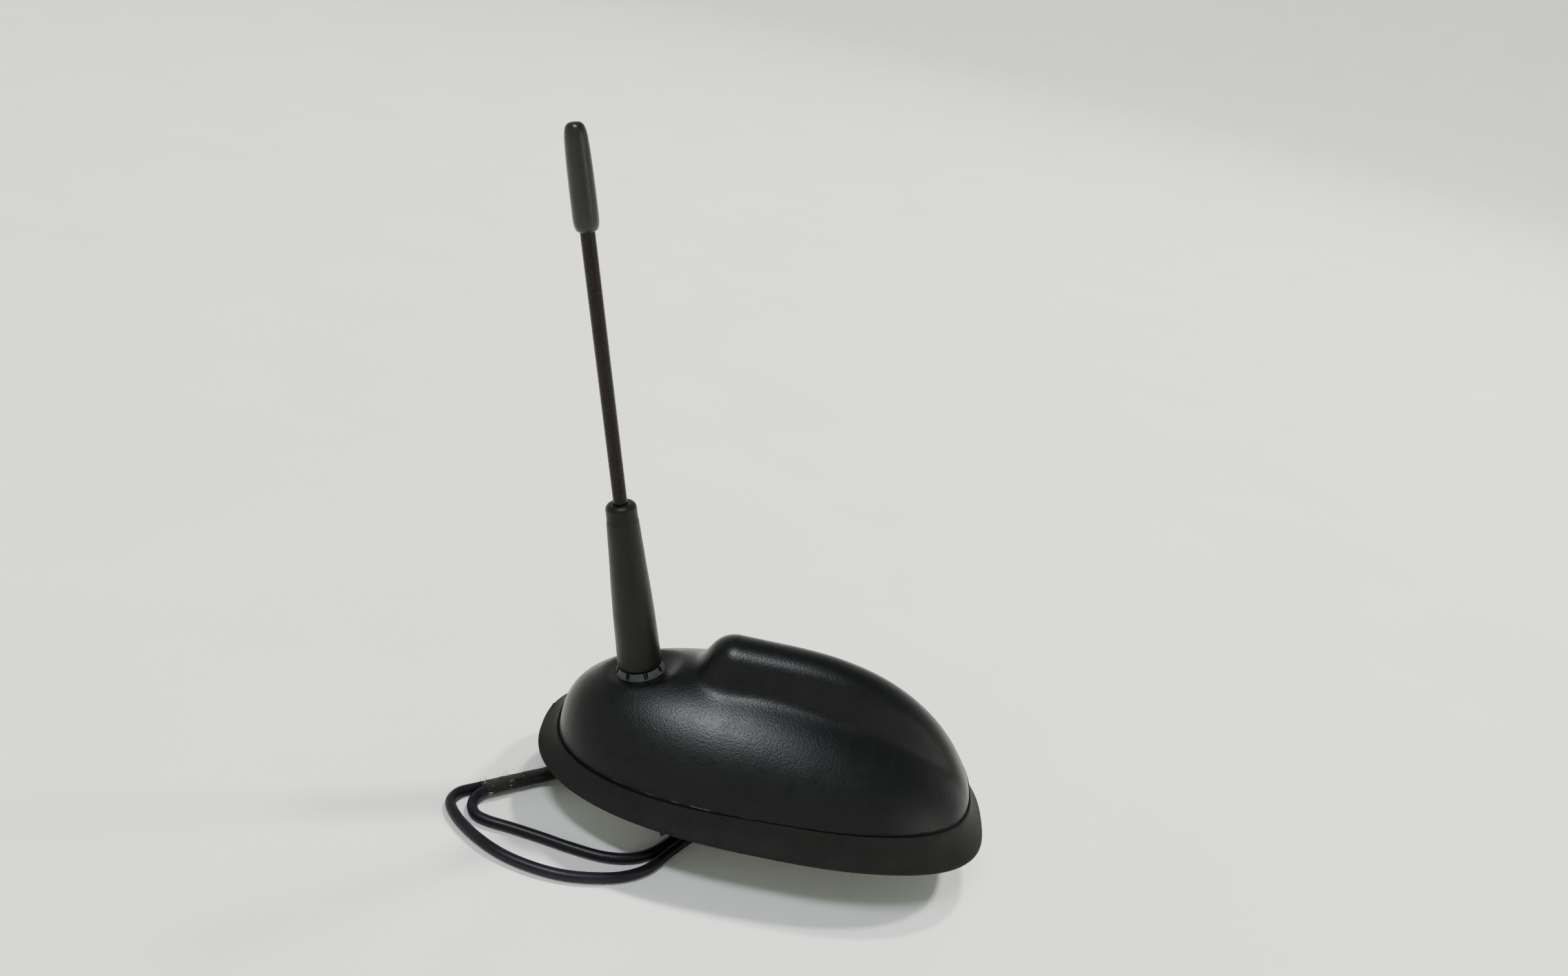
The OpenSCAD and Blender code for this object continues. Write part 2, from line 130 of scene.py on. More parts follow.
def lathe(name, outline, place=Matrix.Identity(4), around=64, closed=False):
    """Turned piece: outline is [(radius, height)]; a closed outline joins its ends."""
    points = []
    for r, z in outline:
        for i in range(around):
            a = math.tau * i / around
            points.append(place @ Vector((r * math.cos(a), r * math.sin(a), z)))
    return mesh_object(name, points, ring_faces(len(outline), around, closed))


def apply_modifiers(obj):
    bpy.context.view_layer.update()
    made = bpy.data.meshes.new_from_object(obj.evaluated_get(bpy.context.evaluated_depsgraph_get()))
    obj.modifiers.clear()
    obj.data = made
    return obj


def cut(obj, cutter, operation="DIFFERENCE"):
    mod = obj.modifiers.new("cut", "BOOLEAN")
    mod.operation = operation
    mod.solver = "EXACT"
    mod.object = cutter
    apply_modifiers(obj)
    bpy.data.objects.remove(cutter)
    return obj


def sharpen(obj, degrees):
    """Smooth shading with creases kept at edges sharper than the angle."""
    obj.data.shade_smooth()
    obj.data.set_sharp_from_angle(angle=math.radians(degrees))
    return obj


def box_mesh(name, low, high, bevel=0.0, segments=2):
    bm = bmesh.new()
    bmesh.ops.create_cube(bm, size=1)
    for v in bm.verts:
        v.co = Vector([low[i] + (v.co[i] + 0.5) * (high[i] - low[i]) for i in range(3)])
    if bevel:
        bmesh.ops.bevel(bm, geom=bm.edges[:], offset=bevel, segments=segments, affect="EDGES")
    data = bpy.data.meshes.new(name)
    bm.to_mesh(data)
    bm.free()
    obj = bpy.data.objects.new(name, data)
    bpy.context.collection.objects.link(obj)
    return sharpen(obj, 40)


def join(first, *others):
    """Joins meshes into the first one."""
    bm = bmesh.new()
    bm.from_mesh(first.data)
    for other in others:
        bm.from_mesh(other.data)
        bpy.data.objects.remove(other)
    bm.to_mesh(first.data)
    bm.free()
    return first


def threaded(name, radius, pitch, low, high, depth, place=Matrix.Identity(4), around=48, steps=8):
    """Closed rod with a helical thread; the crest stays at the given radius."""
    rows = max(2, int(round((high - low) / pitch * steps)))
    points = []
    for j in range(rows + 1):
        z = low + (high - low) * j / rows
        ends = min(1, min(z - low, high - z) / pitch)
        for i in range(around):
            turn = (z / pitch - i / around) % 1
            groove = max(0.0, 1 - abs(2 * turn - 1) * 1.25)
            r = radius - depth * (1 - ends * (1 - groove))
            a = math.tau * i / around
            points.append(place @ Vector((r * math.cos(a), r * math.sin(a), z)))
    faces = ring_faces(rows + 1, around)
    faces.append(tuple(range(around)))
    faces.append(tuple(rows * around + i for i in reversed(range(around))))
    return sharpen(mesh_object(name, points, faces), 50)


# ---- outlines and surfaces of the base ---------------------------------------------------


def power(v, p):
    return math.copysign(abs(v) ** p, v)


def rim(t):
    c, s = math.cos(t), math.sin(t)
    n = FRONT_N if c >= 0 else REAR_N
    return Vector((BASE_L / 2 * power(c, 2 / n), BASE_W / 2 * power(s, 2 / n)))


def drawn_in(t, d):
    p = rim(t)
    return p * (1 - d / p.length)


def inset(t):
    return LIP_INSET + LIP_TURN * math.cos(t) + LIP_WAIST * math.cos(2 * t)


def lip(t, d=0.0):
    return drawn_in(t, inset(t) + d)


def nose(x):
    """Bend of the nose down to the roof: 0 as far as NOSE_X, 1 at the front end."""
    return (max(0.0, x - NOSE_X) / (BASE_L / 2 - NOSE_X)) ** 2


def parting(x):
    return LIP_H + LIP_RISE * x / (BASE_L / 2) - NOSE_DROP * nose(x)


FRONT_X = lip(0, COVER_EDGE).x
REAR_X = lip(math.pi, COVER_EDGE).x
SIDE_Y = lip(math.pi / 2, COVER_EDGE).y


def dome_top(x):
    """Height of the dome's centre line above the parting line."""
    if x < CROWN_X:
        u, m, k = (CROWN_X - x) / (CROWN_X - REAR_X), 2.45, 2.5
    else:
        u, m, k = (x - CROWN_X) / (FRONT_X - CROWN_X), 1.75, 1.5
    return DOME_H * max(0.0, 1 - min(1, u) ** m) ** (1 / k)


def half_width(x):
    a, n = (-REAR_X, REAR_N) if x < 0 else (FRONT_X, FRONT_N)
    return SIDE_Y * max(0.0001, 1 - min(1, abs(x) / a) ** n) ** (1 / n)


def bow(v):
    """Round cross-section: 1 on the centre line, 0 at the lower edge."""
    c = 0.84
    s = math.sqrt(1 - c * c)
    return (math.sqrt(1 - (c * min(1, abs(v))) ** 2) - s) / (1 - s)


def crest(x):
    u = max(0, (x - CREST_X) / (FRONT_X - CREST_X))
    return CREST_END + (HUMP_H - CREST_END) * max(0.0, 1 - min(1, u) ** 2.5) ** 0.7


def finger(r):
    """Drop of the hump's surface at a distance r from its ridge: round, then a steep flank."""
    turn = FLANK * HUMP_R
    if r <= turn:
        return HUMP_R - math.sqrt(HUMP_R * HUMP_R - r * r)
    side = math.sqrt(HUMP_R * HUMP_R - turn * turn)
    return HUMP_R - side + (r - turn) * turn / side


def hump(x, y):
    return crest(x) - finger(math.hypot(y, min(0, x - HUMP_REAR)))


def blend(a, b, r):
    return (a + b + math.sqrt((a - b) ** 2 + r * r)) / 2


def pad(r):
    """Share of the seat's plane in the surface: 1 at the seat, 0 from PAD_R on."""
    s = min(1, max(0, (PAD_R - r) / (PAD_R - SEAT_R)))
    return s * s * (3 - 2 * s)


def crown(x, y):
    z = blend(parting(x) + dome_top(x) * bow(y / half_width(x)), hump(x, y), FILLET)
    w = pad(math.hypot(x - SEAT.x, y))
    return z + w * (SEAT.z + math.tan(RAKE) * (x - SEAT.x) + 0.1 * MM - z)


def cover_ring(f, t, around):
    """Points of the cover's surface on the outline scaled by f; t is the depth below the skin."""
    ring = []
    for i in range(around):
        e = lip(math.tau * i / around, COVER_EDGE + t)
        x, y = CROWN_X + (e.x - CROWN_X) * f, e.y * f
        low = parting(x)
        ring.append((x, y, low if f == 1 else max(low + (0.2 * MM if t else 0), crown(x, y) - t)))
    return ring


# ---- materials ---------------------------------------------------------------------------


class Shade:
    """A small helper that builds one node material on object coordinates."""

    def __init__(self, name):
        self.mat = bpy.data.materials.new(name)
        self.mat.use_nodes = True
        self.tree = self.mat.node_tree
        self.bsdf = self.tree.nodes["Principled BSDF"]
        self.at = self.node("ShaderNodeTexCoord").outputs["Object"]

    def node(self, kind, **settings):
        n = self.tree.nodes.new(kind)
        for key, value in settings.items():
            setattr(n, key, value)
        return n

    def link(self, a, b):
        self.tree.links.new(a, b)

    def set(self, **values):
        for key, value in values.items():
            self.bsdf.inputs[key.replace("_", " ")].default_value = value
        return self

    def noise(self, size, detail=3.0, rough=0.5, stretch=(1, 1, 1)):
        """Noise whose grain is about size metres across."""
        shift = self.node("ShaderNodeMapping")
        shift.inputs["Scale"].default_value = stretch
        self.link(self.at, shift.inputs["Vector"])
        n = self.node("ShaderNodeTexNoise")
        n.inputs["Scale"].default_value = 1 / size
        n.inputs["Detail"].default_value = detail
        n.inputs["Roughness"].default_value = rough
        self.link(shift.outputs["Vector"], n.inputs["Vector"])
        return n.outputs["Fac"]

    def spread(self, value, low, high, to_low, to_high):
        """Maps low..high of a value to to_low..to_high."""
        m = self.node("ShaderNodeMapRange")
        self.link(value, m.inputs["Value"])
        for key, number in zip(("From Min", "From Max", "To Min", "To Max"), (low, high, to_low, to_high)):
            m.inputs[key].default_value = number
        return m.outputs["Result"]

    def mix(self, value, a, b):
        """Colour between a and b, which are colours or sockets."""
        m = self.node("ShaderNodeMix", data_type="RGBA")
        self.link(value, m.inputs["Factor"])
        for key, colour in ((6, a), (7, b)):
            if isinstance(colour, bpy.types.NodeSocket):
                self.link(colour, m.inputs[key])
            else:
                m.inputs[key].default_value = (*colour, 1)
        return m.outputs[2]

    def math(self, operation, a, b):
        m = self.node("ShaderNodeMath", operation=operation)
        for k, v in enumerate((a, b)):
            if isinstance(v, bpy.types.NodeSocket):
                self.link(v, m.inputs[k])
            else:
                m.inputs[k].default_value = v
        return m.outputs[0]

    def bump(self, height, depth, strength=1.0):
        b = self.node("ShaderNodeBump")
        b.inputs["Distance"].default_value = depth
        b.inputs["Strength"].default_value = strength
        self.link(height, b.inputs["Height"])
        if self.bsdf.inputs["Normal"].is_linked:
            self.link(self.bsdf.inputs["Normal"].links[0].from_socket, b.inputs["Normal"])
        self.link(b.outputs["Normal"], self.bsdf.inputs["Normal"])
        return self

    def colour(self, socket):
        self.link(socket, self.bsdf.inputs["Base Color"])
        return self

    def rough(self, socket):
        self.link(socket, self.bsdf.inputs["Roughness"])
        return self


def moulded(name, dark, light, rough, grain, depth, level=0.35, streak=(1, 1, 1)):
    """Moulded plastic: faint clouds, uneven gloss and a fine grain; grain and depth are in mm."""
    s = Shade(name)
    s.set(Specular_IOR_Level=level)
    cloud = s.noise(14 * MM, 4)
    s.colour(s.mix(s.spread(cloud, 0.3, 0.7, 0, 1), dark, light))
    fine = s.noise(grain * MM, 2, 0.6, streak)
    patch = s.noise(5 * MM, 3)
    s.rough(s.math("ADD", s.spread(fine, 0.3, 0.7, rough - 0.05, rough + 0.05),
                   s.spread(patch, 0.3, 0.7, -0.03, 0.03)))
    s.bump(fine, depth * MM)
    return s


def rubber(name, dark, light, rough, dust=0.0):
    """Moulded rubber: matt, with a bloom of pale dust and a soft grain."""
    s = Shade(name)
    s.set(Specular_IOR_Level=0.16)
    bloom = s.noise(9 * MM, 5, 0.65)
    base = s.mix(s.spread(bloom, 0.35, 0.7, 0, 1), dark, light)
    if dust:
        speck = s.noise(0.5 * MM, 2, 0.7)
        base = s.mix(s.spread(speck, 0.68, 0.78, 0, dust), base, (0.3, 0.29, 0.27))
    s.colour(base)
    fine = s.noise(0.35 * MM, 3, 0.6)
    s.rough(s.spread(fine, 0.3, 0.7, rough - 0.06, rough + 0.06))
    s.bump(fine, 0.02 * MM)
    return s


def plated(name, dark, light, rough, stretch=(1, 1, 8), metallic=1.0):
    """Plated or turned metal: fine directional scratches and cloudy gloss."""
    s = Shade(name)
    s.set(Metallic=metallic)
    cloud = s.noise(3 * MM, 4)
    s.colour(s.mix(s.spread(cloud, 0.3, 0.7, 0, 1), dark, light))
    line = s.noise(0.5 * MM, 3, 0.6, stretch)
    s.rough(s.math("ADD", s.spread(line, 0.3, 0.7, rough - 0.08, rough + 0.08),
                   s.spread(cloud, 0.3, 0.7, -0.05, 0.05)))
    s.bump(line, 0.01 * MM)
    return s


cover_mat = moulded("cover_plastic", (0.0018, 0.002, 0.0023), (0.003, 0.0033, 0.0037), 0.36, 0.5, 0.07, 0.21)
gasket_mat = rubber("gasket_rubber", (0.0042, 0.004, 0.004), (0.007, 0.0067, 0.0064), 0.72, dust=0.15)
foot_mat = moulded("foot_plastic", (0.0042, 0.0037, 0.0034), (0.0065, 0.0058, 0.0053), 0.44, 0.3, 0.012,
                   0.17)
rod_mat = moulded("rod_plastic", (0.006, 0.0036, 0.003), (0.0105, 0.0062, 0.005), 0.27, 0.8, 0.004, 0.15)
tip_mat = moulded("tip_plastic", (0.007, 0.006, 0.006), (0.011, 0.0095, 0.009), 0.33, 0.5, 0.006, 0.3)
seat_mat = moulded("seat_plastic", (0.008, 0.0083, 0.0083), (0.042, 0.0435, 0.043), 0.48, 0.4, 0.02, 0.25)
seal_mat = rubber("seal_rubber", (0.010, 0.010, 0.010), (0.016, 0.016, 0.016), 0.6)
lead_mat = rubber("lead_jacket", (0.006, 0.0048, 0.0085), (0.0105, 0.0085, 0.014), 0.4)
steel_mat = plated("plated_steel", (0.42, 0.42, 0.40), (0.62, 0.62, 0.60), 0.32)
cast_mat = plated("die_cast", (0.30, 0.30, 0.30), (0.42, 0.42, 0.42), 0.55, (1, 1, 1))
brass_mat = plated("brass", (0.55, 0.38, 0.14), (0.72, 0.53, 0.24), 0.3)
gilt_mat = plated("gilt", (0.68, 0.48, 0.18), (0.82, 0.62, 0.28), 0.22)
copper_mat = plated("copper", (0.52, 0.24, 0.13), (0.68, 0.34, 0.2), 0.35)
tin_mat = plated("tin", (0.5, 0.5, 0.5), (0.66, 0.66, 0.65), 0.36, (1, 1, 1))
fibre_mat = moulded("core_fibre", (0.5, 0.46, 0.32), (0.62, 0.58, 0.44), 0.4, 0.3, 0.01, 0.5, (1, 1, 0.05))
nylon_mat = moulded("insulator", (0.66, 0.64, 0.56), (0.76, 0.74, 0.67), 0.4, 0.5, 0.008, 0.5)
board_mat = moulded("board", (0.02, 0.09, 0.04), (0.03, 0.13, 0.06), 0.35, 0.9, 0.01, 0.5)
chip_mat = moulded("chips", (0.012, 0.012, 0.014), (0.02, 0.02, 0.022), 0.5, 0.2, 0.01, 0.4)
holder_mat = moulded("holder_plastic", (0.18, 0.19, 0.2), (0.24, 0.25, 0.26), 0.45, 0.4, 0.01, 0.4)
plug_black_mat = moulded("plug_black", (0.014, 0.014, 0.016), (0.022, 0.022, 0.024), 0.42, 0.3, 0.01, 0.4)
plug_red_mat = moulded("plug_red", (0.12, 0.016, 0.032), (0.17, 0.024, 0.045), 0.42, 0.3, 0.01, 0.4)


def fleece_material():
    """Needled fleece tape: brownish black fibres with pale worn ends."""
    s = Shade("fleece")
    s.set(Specular_IOR_Level=0.15, Sheen_Weight=0.08, Sheen_Roughness=0.5)
    fibre = s.noise(0.25 * MM, 4, 0.75)
    patch = s.noise(2.2 * MM, 4, 0.6)
    base = s.mix(s.spread(fibre, 0.3, 0.7, 0, 1), (0.006, 0.005, 0.0045), (0.022, 0.018, 0.015))
    s.colour(s.mix(s.spread(patch, 0.66, 0.8, 0, 0.45), base, (0.16, 0.145, 0.13)))
    s.rough(s.spread(fibre, 0.3, 0.7, 0.8, 1.0))
    s.bump(fibre, 0.12 * MM)
    return s.mat


fleece_mat = fleece_material()


def paint(obj, shade):
    obj.data.materials.clear()
    obj.data.materials.append(shade.mat if isinstance(shade, Shade) else shade)
    return obj


NODE_MATERIALS = {
    "base_plate": cast_mat, "stud_seal": seal_mat, "toothed_washer": steel_mat, "cover_screws": steel_mat,
    "radiator_core": fibre_mat, "radiator_winding": copper_mat, "foot_seal": seal_mat,
    "mast_socket": brass_mat, "socket_insulator": nylon_mat, "contact_spring": brass_mat,
    "amplifier_board": board_mat, "board_chips": chip_mat, "shield_can": tin_mat, "board_screws": steel_mat,
    "phone_radiator": copper_mat, "radiator_holder": holder_mat, "cable_grommet": seal_mat,
    "lead_ferrules": tin_mat, "radio_plug_contact": gilt_mat, "phone_plug_contact": gilt_mat,
}
for name, shade in NODE_MATERIALS.items():
    for k in range(len(nodes[name].material_slots)):
        nodes[name].material_slots[k].material = shade.mat


def adopt(obj, shade, body, slot, *cad):
    """Gives a new piece its material and its body, and hides the CAD nodes it stands for."""
    paint(obj, shade)
    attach(obj, body)
    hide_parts(*cad)
    return obj


# ---- camera ------------------------------------------------------------------------------

CAMERA_AT = Vector((-27.5, -304.6, 226.7)) * MM
AZIMUTH, ELEVATION, ROLL = (math.radians(a) for a in (-2.69, 24.41, 13.36))
SENSOR = 36.0
FOCAL_SHARE = 2000 / 2429

backward = Vector((math.sin(AZIMUTH) * math.cos(ELEVATION),
                   -math.cos(AZIMUTH) * math.cos(ELEVATION), math.sin(ELEVATION)))
level = (-backward).cross(Vector((0, 0, 1))).normalized()
upright = level.cross(-backward)
right = level * math.cos(ROLL) + upright * math.sin(ROLL)
up = upright * math.cos(ROLL) - level * math.sin(ROLL)
lens = bpy.data.cameras.new("camera")
lens.sensor_width = SENSOR
lens.lens = SENSOR * FOCAL_SHARE
lens.clip_start = 0.01
camera = bpy.data.objects.new("camera", lens)
camera.matrix_world = Matrix((right, up, backward)).transposed().to_4x4()
camera.location = CAMERA_AT
bpy.context.collection.objects.link(camera)
bpy.context.scene.camera = camera

# ---- floor and light -----------------------------------------------------------------------

FLOOR_FLAT = 2.5
FLOOR_SWEEP = 1.2
WALL_H = 3.0
floor_outline = [(0.0001, FLOOR_Z), (0.4, FLOOR_Z), (FLOOR_FLAT, FLOOR_Z)]
for k in range(1, 16):
    turn = math.radians(6 * k)
    floor_outline.append((FLOOR_FLAT + FLOOR_SWEEP * math.sin(turn),
                          FLOOR_Z + FLOOR_SWEEP * (1 - math.cos(turn))))
floor_outline.append((FLOOR_FLAT + FLOOR_SWEEP, WALL_H))
floor = lathe("floor", floor_outline, around=128)
floor_shade = Shade("floor")
floor_shade.set(Specular_IOR_Level=0.2)
floor_cloud = floor_shade.noise(60 * MM, 4)
floor_shade.colour(floor_shade.mix(floor_shade.spread(floor_cloud, 0.3, 0.7, 0, 1), (0.79, 0.805, 0.775),
                                   (0.82, 0.835, 0.805)))
floor_shade.rough(floor_shade.spread(floor_cloud, 0.3, 0.7, 0.5, 0.6))
paint(floor, floor_shade)

world = bpy.data.worlds.new("world")
world.use_nodes = True
world.node_tree.nodes["Background"].inputs["Color"].default_value = (0.97, 1.0, 0.985, 1)
world.node_tree.nodes["Background"].inputs["Strength"].default_value = 0.2
bpy.context.scene.world = world


def area_light(name, direction, size, watts, colour, glint, wash):
    """Rectangular lamp that faces the object; size is (along X, across); glint and wash say
    whether it makes highlights and whether it lights matt surfaces."""
    target = Vector((-0.01, 0, 0.02))
    distance = 3.0
    data = bpy.data.lights.new(name, "AREA")
    data.shape = "RECTANGLE"
    data.size, data.size_y = size
    data.energy = watts
    data.color = colour
    obj = bpy.data.objects.new(name, data)
    toward = Vector(direction).normalized()
    obj.location = target + toward * distance
    obj.rotation_mode = "QUATERNION"
    obj.rotation_quaternion = toward.to_track_quat("Z", "Y")
    obj.visible_glossy = glint
    obj.visible_diffuse = wash
    bpy.context.collection.objects.link(obj)
    return obj


area_light("key", (-0.17, -0.33, 0.93), (1.2, 0.3), 48.0, (0.9, 0.97, 1.0), glint=True, wash=True)
area_light("sheen", (-0.17, -0.33, 0.93), (1.0, 0.25), 68.0, (0.9, 0.97, 1.0), glint=True, wash=False)
area_light("front", (0.9, -0.35, 0.3), (1.4, 1.4), 14.0, (1.0, 0.98, 0.94), glint=True, wash=False)
area_light("warm", (0.2, 0.42, 0.88), (0.3, 0.3), 80.0, (1.0, 0.95, 0.9), glint=False, wash=True)
area_light("side", (0.55, 0.3, 0.78), (0.3, 0.3), 82.0, (1.0, 0.98, 0.96), glint=False, wash=True)

# ---- leads ---------------------------------------------------------------------------------


def level_point(x, y, z=None):
    return Vector((x * MM, y * MM, LIE if z is None else z))


RADIO_ROUTE = [level_point(*p) for p in (
    (1.5, -1.7, 4.5 * MM), (1.5, -1.7, -2 * MM), (1.4, -1.8, -7 * MM), (0.5, -2.6, -10.5 * MM),
    (-1.6, -4.6, -13.2 * MM), (-5, -7.8), (-10, -12), (-16, -17), (-21.5, -25), (-27, -34), (-33, -38.6),
    (-40, -41), (-48, -42.2), (-56, -41.6), (-65.3, -39), (-73.6, -34.2), (-80.3, -28.2), (-83.4, -23),
    (-82.4, -18.8), (-78.6, -15.6), (-70.6, -9.6), (-63, -4), (-55, 2.4), (-47, 8.8), (-39, 15.4),
    (-31, 23), (-24, 31), (-17, 40), (-10, 48), (-2, 53, -14 * MM), (5, 55, -12.3 * MM), (12, 55, PLUG_Z))]
LAP = 1.2 * MM
PHONE_ROUTE = [level_point(*p) for p in (
    (-1.5, 1.7, 4.5 * MM), (-1.5, 1.7, -2 * MM), (-1.7, 1.6, -7 * MM), (-2.7, 0.6, -10.5 * MM),
    (-4.9, -1.6, -13.2 * MM), (-8.3, -4.8), (-13.2, -9), (-18, -14.5), (-22.5, -21.5), (-27, -27.6),
    (-32, -31), (-39, -32.4), (-48, -31.5), (-57, -29.8), (-65.5, -28.4), (-72.1, -27.5), (-75.5, -26.1),
    (-77.4, -23.1), (-77.3, -19.6, LIE + 0.3 * MM), (-75.3, -16.9, LIE + 0.8 * MM), (-68.7, -12, LIE + LAP),
    (-61.2, -6.4, LIE + LAP), (-53, 0, LIE + LAP), (-45, 6.4, LIE + 0.8 * MM), (-37, 12.9, LIE + 0.3 * MM),
    (-29, 20.4), (-21.8, 28.4), (-14.5, 37), (-8, 42.5), (-1, 44.5, -14 * MM), (6, 45, -12.3 * MM),
    (12, 45, PLUG_Z))]
WRAP_ROUTE = [level_point(x, y, LIE + LAP / 2)
              for x, y in ((-76.4, -15.9), (-69.7, -10.8), (-62.1, -5.2), (-54, 1.2), (-46, 7.6))]
WRAP_TILT = math.radians(-22)


def smooth_path(points, steps=6):
    """Centripetal curve through the points, with steps pieces between each pair."""
    p = [points[0] * 2 - points[1], *points, points[-1] * 2 - points[-2]]
    path = []
    for k in range(1, len(p) - 2):
        t = [0.0]
        for j in range(3):
            t.append(t[-1] + (p[k + j] - p[k + j - 1]).length ** 0.5)
        for i in range(steps):
            u = t[1] + (t[2] - t[1]) * i / steps
            a = [p[k - 1 + j].lerp(p[k + j], (u - t[j]) / (t[j + 1] - t[j])) for j in range(3)]
            b = [a[j].lerp(a[j + 1], (u - t[j]) / (t[j + 2] - t[j])) for j in range(2)]
            path.append(b[0].lerp(b[1], (u - t[1]) / (t[2] - t[1])))
    return [*path, points[-1]]


def path_length(path):
    return sum((b - a).length for a, b in zip(path, path[1:]))


def lead(name, route):
    """Round jacket along a route; gives the piece and its length."""
    data = bpy.data.curves.new(name, "CURVE")
    data.dimensions = "3D"
    data.bevel_depth = LEAD_D / 2
    data.bevel_resolution = 6
    data.use_fill_caps = True
    path = smooth_path(route)
    spline = data.splines.new("POLY")
    spline.points.add(len(path) - 1)
    for point, at in zip(spline.points, path):
        point.co = (*at, 1)
    obj = bpy.data.objects.new(name, data)
    bpy.context.collection.objects.link(obj)
    return obj, path_length(path)


def plug(name, route):
    """Moulded plug body with finger ridges, a latch and a stepped round mouth that points along +X."""
    length, side, lead_in = 20 * MM, 7.8 * MM, 4 * MM
    start = route[-1] - Vector((lead_in, 0, 0))
    half = side / 2
    body = box_mesh(name, (0, -half, -half), (length, half, half), 0.7 * MM, 3)
    along = Matrix.Rotation(math.pi / 2, 4, "Y")
    hole = [(0, -1), (2.1, -1), (2.1, 9), (2.9, 9), (2.9, 15.2), (3.2, 15.2), (3.2, 21), (0, 21)]
    body = cut(body, lathe("hole", [(r * MM, z * MM) for r, z in hole], along))
    for k in range(5):
        x = (1.6 + 1.5 * k) * MM
        for s in (-1, 1):
            low = (x, s * half - 0.12 * MM, -2.6 * MM)
            high = (x + 0.7 * MM, s * half + 0.12 * MM, 2.6 * MM)
            join(body, box_mesh("ridge", low, high, 0.1 * MM, 1))
    latch = box_mesh("latch", (3 * MM, -1.6 * MM, half - 0.2 * MM), (14 * MM, 1.6 * MM, half + 1.3 * MM),
                     0.35 * MM, 2)
    join(body, latch)
    body.data.transform(Matrix.Translation(start))
    return sharpen(body, 40)


def along_path(path, at):
    """(point, direction) at a share of the path's length."""
    goal = at * path_length(path)
    for a, b in zip(path, path[1:]):
        step = (b - a).length
        if goal <= step:
            return a.lerp(b, goal / step), (b - a).normalized()
        goal -= step
    return path[-1], (path[-1] - path[-2]).normalized()


def fleece_sleeve():
    """Tape wound in overlapping turns round both leads, resting on the floor."""
    path = smooth_path(WRAP_ROUTE, 16)
    rows, around = 150, 40
    turns = 5.5
    random.seed(7)
    points = []
    for j in range(rows + 1):
        share = j / rows
        at, way = along_path(path, share)
        side = Vector((-way.y, way.x, 0)).normalized()
        for i in range(around):
            a = math.tau * i / around
            lap = (share * turns + i / around) % 1
            step = 0.16 * MM * (1 - lap)
            rough = 0.1 * MM * noise.noise(Vector((share * 40, 3 * math.cos(a), 3 * math.sin(a))))
            wide = 3.15 * MM + step + rough
            tall = 1.72 * MM + step + rough
            u, v = wide * math.cos(a), tall * math.sin(a)
            level = u * math.cos(WRAP_TILT) - v * math.sin(WRAP_TILT)
            point = at + side * level + Vector((0, 0, u * math.sin(WRAP_TILT) + v * math.cos(WRAP_TILT)))
            point.z = max(point.z, FLOOR_Z + 0.02 * MM)
            points.append(point)
    faces = ring_faces(rows + 1, around)
    faces.append(tuple(range(around)))
    faces.append(tuple(rows * around + i for i in reversed(range(around))))
    return mesh_object("fleece_wrap_skin", points, faces)


def frays():
    """Loose pale threads that stand out of the fleece tape near its ends."""
    random.seed(11)
    path = smooth_path(WRAP_ROUTE, 16)
    data = bpy.data.curves.new("fleece_frays", "CURVE")
    data.dimensions = "3D"
    data.bevel_depth = 0.06 * MM
    data.bevel_resolution = 1
    for k in range(46):
        near_end = random.choice((0.02, 0.18, 0.3, 0.96))
        at, way = along_path(path, min(0.99, max(0.01, near_end + random.uniform(-0.03, 0.03))))
        side = Vector((-way.y, way.x, 0)).normalized()
        a = random.uniform(0.1, math.pi - 0.1)
        out = side * math.cos(a) + Vector((0, 0, math.sin(a)))
        root = at + side * (3.0 * MM * math.cos(a)) + Vector((0, 0, 1.45 * MM * math.sin(a)))
        bend = Vector([random.uniform(-1, 1) for _ in range(3)])
        size = random.uniform(0.5, 1.5) * MM
        spline = data.splines.new("POLY")
        spline.points.add(3)
        for i in range(4):
            t = i / 3
            p = root + out * (size * t) + bend * (size * 0.6 * t * t)
            p.z = max(p.z, FLOOR_Z + 0.1 * MM)
            spline.points[i].co = (*p, 1)
    obj = bpy.data.objects.new("fleece_frays", data)
    bpy.context.collection.objects.link(obj)
    return obj


fray_mat = rubber("fray_fibre", (0.32, 0.3, 0.28), (0.5, 0.48, 0.45), 0.9)

radio_lead, radio_length = lead("radio_lead_jacket", RADIO_ROUTE)
phone_lead, phone_length = lead("phone_lead_jacket", PHONE_ROUTE)
adopt(radio_lead, lead_mat, "base", "lead_jacket", "radio_lead")
adopt(phone_lead, lead_mat, "base", "lead_jacket", "phone_lead")
radio_plug = adopt(plug("radio_plug_body", RADIO_ROUTE), plug_black_mat, "base", "plug_black", "radio_plug")
phone_plug = adopt(plug("phone_plug_body", PHONE_ROUTE), plug_red_mat, "base", "plug_red", "phone_plug")
wrap = adopt(fleece_sleeve(), fleece_mat, "base", "fleece", "fleece_wrap")
wrap_frays = frays()
paint(wrap_frays, fray_mat)
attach(wrap_frays, "base")

# ---- cover and gasket ------------------------------------------------------------------------

AROUND, ROWS = 192, 72
MAST_PLACE = Matrix.Translation(SEAT) @ Matrix.Rotation(-RAKE, 4, "Y")


